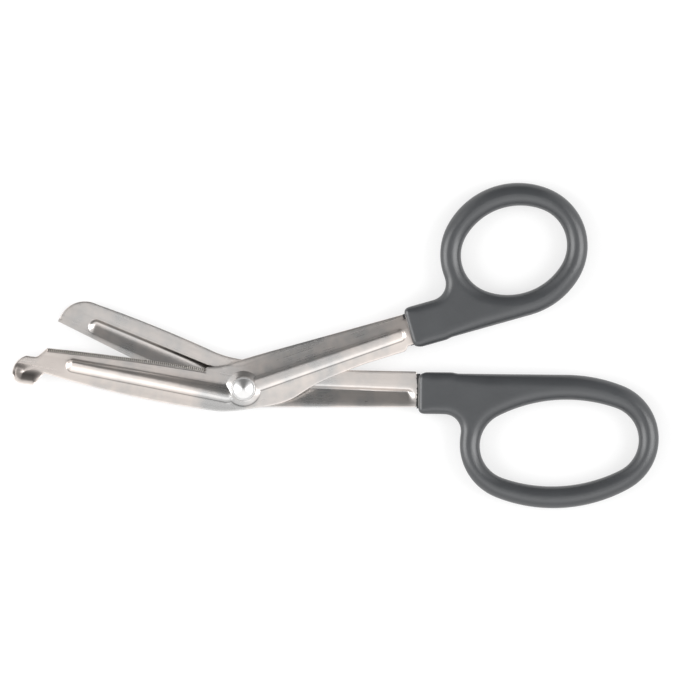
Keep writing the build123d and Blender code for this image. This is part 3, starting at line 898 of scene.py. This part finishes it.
tooth_rows = np.concatenate([(tooth_feet + tooth_ways * step)[1:-1] for step in tooth_row_steps])
foot_rows = [foot_run + inward(foot_run) * step for step in foot_row_steps]
front_lines = np.concatenate([*foot_rows, rib_lines(front_ribs)])
serrated_arm = double_skin(
    "serrated_arm_sheet", [front_outline, rivet_hole],
    plan_points(front_outline, rivet_hole, front_lines, tooth_feet, tooth_rows), front_skins,
)
serrated_arm.data.materials.append(
    steel_finish("serrated_arm_steel", warm=(0.725, 0.662, 0.62), grey=(0.505, 0.5, 0.495), tip_warmth=0.2)
)


def bowl_painted_shade(points):
    """How dark the painted shade in the hollow of the foot is."""
    depth, _ = distance_to(points, foot_run)
    along, across = points @ serrated(1, 0), points @ serrated(0, 1)
    within = np.clip((depth - foot_wall) / foot_painted_shade_wall_fade, 0, 1)
    within *= np.clip((foot_painted_shade_reach - depth) / foot_painted_shade_fade, 0, 1)
    beyond = np.clip((along - serrated_reach - foot_painted_shade_start) / foot_painted_shade_fade, 0, 1)
    return foot_bowl_painted_shade * within * beyond * np.clip((across - foot_painted_shade_across) / foot_painted_shade_fade, 0, 1)


def tooth_marks(points):
    """How far each point is ground steel, and how dark the painted shade in the gap between two teeth is
    there.
    """
    depth, tooth = distance_to(points, tooth_feet)
    strip = np.clip((tooth_length + ground_past_teeth - depth) / ground_fade, 0, 1)
    return strip * ((tooth > 0) & (tooth < len(tooth_feet) - 1)), tooth_gap_painted_shade * (tooth % 2) * strip


serrated_plan = plan_of(serrated_arm)
# Painted shade on the near side of the serrated arm's creases, with that of its foot's hollow and tooth
# gaps, kept as one crease mark.
front_painted_shade = painted_crease_shade(serrated_plan, front_ribs, -1, front_painted_crease_place, front_painted_crease_width)
ground, gap_painted_shade = tooth_marks(serrated_plan)
# The ground strip, rougher and paler: its paler tint is partly a painted highlight.
keep_mark(serrated_arm, "ground", ground)
keep_mark(serrated_arm, "crease", np.max([front_painted_shade, bowl_painted_shade(serrated_plan), gap_painted_shade], 0))
keep_mark(serrated_arm, "run", grain_run(serrated_plan, front_ribs))
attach(serrated_arm, "serrated_arm")
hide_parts("serrated_blade")

# The rivet that joins the arms, turned from bright steel: a cone-topped head that sits on the
# serrated arm's boss, a shank through both arms, and a low tail that is set against the plain arm.
head_radius = 3.35
head_height = 1.2
head_rim = 0.3
head_seat = 6.75
head_crown_radius = 1.0
head_crown_softness = 0.8
head_slope_share = 1.08
head_cone_points = 14
shank_radius = 2.0
tail_top = 1.3
tail_radius = 3.2
tail_rounding = 0.5
tail_turns = (30, 60, 90)
turning_steps = 96
guide_radius = 5.0
rim_break = 0.1
rivet_roughness = 0.36
rivet_tint = (0.6, 0.595, 0.59)

head_slope = head_slope_share * (head_height - head_rim) / (head_radius - head_crown_radius)
head_profile = [(0, 0), (tail_radius - tail_rounding, 0)]
for turn in np.radians(tail_turns):
    head_profile.append(
        (tail_radius - tail_rounding * (1 - math.sin(turn)), tail_rounding * (1 - math.cos(turn)))
    )
head_profile += [
    (tail_radius, tail_top - rim_break), (tail_radius - rim_break, tail_top), (shank_radius, tail_top),
    (shank_radius, head_seat), (head_radius - rim_break, head_seat), (head_radius, head_seat + rim_break),
    (head_radius, head_seat + head_rim - rim_break / 2), (head_radius - rim_break, head_seat + head_rim),
]
crown = head_crown_radius * head_crown_softness
for radius in np.linspace(head_radius - 2 * rim_break, 0, head_cone_points):
    cone = head_seat + head_height - (math.hypot(radius, crown) - crown) * head_slope
    head_profile.append((radius, max(cone, head_seat + head_rim)))


def turning_tree():
    """Geometry nodes that sweep a profile round a guide circle, as a lathe turns it."""
    tree = bpy.data.node_groups.new("turning", "GeometryNodeTree")
    kinds = (
        ("Profile", "Geometry"), ("Steps", "Int"), ("Guide Radius", "Float"), ("Centre", "Vector"),
        ("Metal", "Material"),
    )
    for name, kind in kinds:
        tree.interface.new_socket(name, in_out="INPUT", socket_type="NodeSocket" + kind)
    tree.interface.new_socket("Solid", in_out="OUTPUT", socket_type="NodeSocketGeometry")
    lathe = Finish(tree)
    given = {socket.name: Value(lathe, socket) for socket in tree.nodes.new("NodeGroupInput").outputs}
    profile = lathe.node("GeometryNodeMeshToCurve", sockets={"Mesh": given["Profile"]})
    guide = lathe.node(
        "GeometryNodeCurvePrimitiveCircle",
        sockets={"Resolution": given["Steps"], "Radius": given["Guide Radius"]},
    )
    swept = lathe.node("GeometryNodeCurveToMesh", sockets={"Curve": guide, "Profile Curve": profile})
    closed = lathe.node("GeometryNodeMergeByDistance", sockets={"Geometry": swept, "Distance": mm / 1000})
    outward = lathe.node("GeometryNodeFlipFaces", sockets={"Mesh": closed})
    placed = lathe.node(
        "GeometryNodeTransform", sockets={"Geometry": outward, "Translation": given["Centre"]}
    )
    single = lathe.node("GeometryNodeRealizeInstances", sockets={"Geometry": placed})
    solid = lathe.node("GeometryNodeSetMaterial", sockets={"Geometry": single, "Material": given["Metal"]})
    tree.links.new(solid.socket, tree.nodes.new("NodeGroupOutput").inputs["Solid"])
    return tree


def turned(name, profile, metal):
    """Closed solid of revolution round the pivot from its profile of radius and height."""
    line = bpy.data.meshes.new(name + "_profile")
    places = [((radius - guide_radius) * mm, -height * mm, 0) for radius, height in profile]
    line.from_pydata(places, [(n, n + 1) for n in range(len(places) - 1)], [])
    blank = add_object(name + "_blank", line)
    lathe = blank.modifiers.new("turning", "NODES")
    lathe.node_group = turning_tree()
    sizes = {
        "Steps": turning_steps, "Guide Radius": guide_radius * mm,
        "Centre": (pivot.x, pivot.y, 0), "Metal": metal,
    }
    for socket in lathe.node_group.interface.items_tree:
        if socket.name in sizes:
            lathe[socket.identifier] = sizes[socket.name]
    mesh = bpy.data.meshes.new_from_object(blank.evaluated_get(bpy.context.evaluated_depsgraph_get()))
    bpy.data.objects.remove(blank)
    bpy.data.meshes.remove(line)
    return smooth_piece(name, mesh)


def bright_finish(name):
    """Turned and polished steel with fine rings and a few soft dents from the setting tool."""
    material, look, shader = new_material(name)
    place = look.node("ShaderNodeTexCoord", output="Object")
    centred = look.node("ShaderNodeMapping", sockets={"Vector": place, "Location": (-pivot.x, -pivot.y, 0)})
    rings = look.node(
        "ShaderNodeTexWave", {"wave_type": "RINGS", "rings_direction": "Z"},
        {"Vector": centred, "Scale": 1500.0, "Distortion": 1.5, "Detail": 2.0},
    )
    dents = noise(look, place, scale=700.0, detail=2.0)
    bump = look.node(
        "ShaderNodeBump", sockets={"Strength": 0.15, "Distance": 0.00003, "Height": rings * 0.25 + dents}
    )
    roughness = (dents - 0.5) * 0.1 + rivet_roughness
    look.fill(shader, {"Base Color": (*rivet_tint, 1), "Metallic": 1.0})
    look.fill(shader, {"Roughness": roughness, "Normal": bump})
    return material


rivet = turned("rivet", head_profile, bright_finish("bright_rivet_steel"))
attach(rivet, "plain_arm")
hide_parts("pivot_rivet")

# The two moulded handles, each one shot of dark grey satin plastic round a tang: a flat block whose
# inner side carries the stop pad, and an oval loop with fully rounded rims. Both are made over the
# level section of their nodes in the frame.
def plastic_finish(name, tint):
    """Satin moulded plastic with a fine spark-eroded grain and a gloss that varies softly."""
    material, look, shader = new_material(name)
    place = look.node("ShaderNodeTexCoord", output="Object")
    cloud = noise(look, place, scale=120.0, detail=4.0)
    grain = noise(look, place, scale=2400.0, detail=2.0)
    darker, paler = ((*(part * share for part in tint), 1) for share in (0.86, 1.14))
    shade = look.node("ShaderNodeMix", {"data_type": "RGBA"}, {0: cloud, 6: darker, 7: paler}, output=2)
    bump = look.node("ShaderNodeBump", sockets={"Strength": 0.12, "Distance": 0.00003, "Height": grain})
    roughness = (cloud - 0.5) * 0.16 + (grain - 0.5) * 0.08 + 0.35
    look.fill(shader, {"Base Color": shade, "Specular IOR Level": 0.8})
    look.fill(shader, {"Roughness": roughness, "Normal": bump})
    return material


handle_thickness = 8.0
section_height = 4.02
handle_step = 0.35
handle_smoothing = 8
block_end_rounding = 1.3
block_rounding = 2.3
loop_rounding = 3.3
end_rounding_length = 4
loop_rounding_lead = 2
loop_rounding_length = 9
handle_grid_room, handle_grid_gap = 0.6, 0.5
ring_least_gap = 0.02
ring_full_share = 0.93
handle_turns = tuple(math.radians(turn) for turn in (14, 26, 38, 50, 62, 76, 90))
handle_tint = (0.04, 0.0425, 0.046)
thumb_gap = 0.55
thumb_corner = front_shank(front_shank_length + thumb_gap, 0.35 - front_shank_bottom)
thumb_direction = 15.7
thumb_block_length = 13.95
finger_gap = 0.4
finger_corner = np.array((rear_shank_length + finger_gap, rear_end_top[1] - 0.5))
finger_direction = -0.6
finger_block_length = 12.1


def level_section(node):
    """Closed outlines, round the pivot, of a CAD node cut level just above its middle, widest first."""
    body = bmesh.new()
    body.from_mesh(node.data)
    body.transform(node.matrix_world)
    bmesh.ops.remove_doubles(body, verts=body.verts, dist=mm / 1000)
    cut = bmesh.ops.bisect_plane(
        body, geom=body.verts[:] + body.edges[:] + body.faces[:], dist=mm / 10000,
        plane_co=(0, 0, section_height * mm), plane_no=(0, 0, 1), clear_inner=True, clear_outer=True,
    )
    waiting = {v for v in cut["geom_cut"] if isinstance(v, bmesh.types.BMVert)}
    outlines = []
    while waiting:
        beside, run = [min(waiting, key=lambda v: tuple(v.co))], []
        while beside:
            run.append(beside[0])
            waiting.discard(run[-1])
            beside = [e.other_vert(run[-1]) for e in run[-1].link_edges]
            beside = sorted((v for v in beside if v in waiting), key=lambda v: tuple(v.co))
        outlines.append(np.array([((v.co - pivot) / mm)[:2] for v in run]))
    body.free()
    return sorted(outlines, key=lambda run: -np.ptp(run[:, 0]))


def softened(outline, clockwise):
    """An outline in even steps, with its small corners eased and its sense as asked."""
    closed = np.concatenate([outline, outline[:1]])
    lengths = np.concatenate([[0], np.cumsum(np.linalg.norm(np.diff(closed, axis=0), axis=1))])
    places = np.linspace(0, lengths[-1], round(lengths[-1] / handle_step), endpoint=False)
    run = np.stack([np.interp(places, lengths, closed[:, n]) for n in (0, 1)], 1)
    for _ in range(handle_smoothing):
        run = (np.roll(run, 1, 0) + 2 * run + np.roll(run, -1, 0)) / 4
    area = (run[:, 0] * np.roll(run[:, 1], -1) - run[:, 1] * np.roll(run[:, 0], -1)).sum()
    return run[::-1] if (area > 0) == clockwise else run


def moulded(name, node, corner, direction, block_length, body):
    """One handle over its CAD node's plan, rounder along the loop than along the block."""
    outer, hole = level_section(frame["nodes"][node])
    outer, hole = softened(outer, True), softened(hole, False)

    def rounding(points):
        along = (points - corner) @ polar(direction, 1, 0)
        near_end = np.clip(along / end_rounding_length, 0, 1)
        in_loop = np.clip((along - block_length + loop_rounding_lead) / loop_rounding_length, 0, 1)
        return between((between((block_end_rounding, block_rounding), near_end), loop_rounding), in_loop)

    def skins(points):
        depth, nearest = distance_to(points, outer)
        hole_depth, _ = distance_to(points, hole)
        drop = rim_drop(depth, rounding(outer[nearest])) + rim_drop(hole_depth, loop_rounding)
        return drop, handle_thickness - drop

    def room_at(points):
        return np.minimum(distance_to(points, outer)[0], distance_to(points, hole)[0])

    groups = [(outer, 0), (hole, 0)]
    for outline in (outer, hole):
        ways, radius = inward(outline), rounding(outline)[:, None] if outline is outer else loop_rounding
        for turn in handle_turns:
            ring = outline + ways * radius * (1 - math.cos(turn))
            reach = np.linalg.norm(ring - outline, axis=1)
            groups.append((ring[room_at(ring) > reach * ring_full_share - least_step], ring_least_gap))
    grid = grid_over(outer)[::2]
    grid = grid[inside_outline(grid, outer) & ~inside_outline(grid, hole)]
    groups.append((grid[room_at(grid) > handle_grid_room], handle_grid_gap))
    inner = spread(groups)[len(outer) + len(hole):]
    handle = double_skin(name, [outer, hole], inner, skins)
    handle.data.materials.append(plastic_finish(name + "_plastic", handle_tint))
    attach(handle, body)
    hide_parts(node)


moulded(
    "thumb_handle_moulding", "thumb_handle", thumb_corner, thumb_direction, thumb_block_length,
    "serrated_arm",
)
moulded(
    "finger_handle_moulding", "finger_handle", finger_corner, finger_direction, finger_block_length,
    "plain_arm",
)

# The ragged skins where the steel enters each handle: painted shadow, thin near-black sheets that stand in
# for the dark gap before the block, along the tang and lapping onto the end of the shank. Each is part of
# its handle.
painted_gap_shadow_over = 0.3
painted_gap_shadow_least = -0.3
painted_gap_shadow_steps = 24
painted_gap_shadow_root = 0.5
painted_gap_shadow_width = 10.2
painted_gap_shadow_lap = 0.3
# The near-black of the painted shadow in the gap where each shank enters its handle.
painted_gap_shadow_tint = (0.012, 0.012, 0.012)
painted_gap_shadow_raggedness = np.random.default_rng(7)


def painted_gap_shadow(name, corner, direction, up, gap, start, steel, body):
    """The ragged skin of painted shadow round one tang, over the gap before the block and both faces of the
    steel.
    """
    reach = gap + painted_gap_shadow_over * painted_gap_shadow_raggedness.uniform(painted_gap_shadow_least, 1, painted_gap_shadow_steps)
    places = list(zip(-reach, np.linspace(start, painted_gap_shadow_width, painted_gap_shadow_steps)))
    places += [(painted_gap_shadow_root, painted_gap_shadow_width), (painted_gap_shadow_root, start)]
    outline = np.array([corner + polar(direction, along, up * across) for along, across in places])
    low, high = pivot.z / mm + steel

    def skins(points):
        return np.full(len(points), low - painted_gap_shadow_lap), np.full(len(points), high + painted_gap_shadow_lap)

    skin = double_skin(name, [outline], np.zeros((0, 2)), skins)
    skin.data.materials.append(plastic_finish(name + "_plastic", painted_gap_shadow_tint))
    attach(skin, body)


upper_steel = np.array((blade_gap / 2, blade_gap / 2 + sheet_thickness))
# Painted shadow where each shank enters its handle.
painted_gap_shadow(
    "thumb_handle_painted_gap_shadow", thumb_corner, thumb_direction, 1, thumb_gap, 0.8, upper_steel,
    "serrated_arm",
)
painted_gap_shadow(
    "finger_handle_painted_gap_shadow", finger_corner, finger_direction, -1, finger_gap, 0.15, -upper_steel[::-1],
    "plain_arm",
)
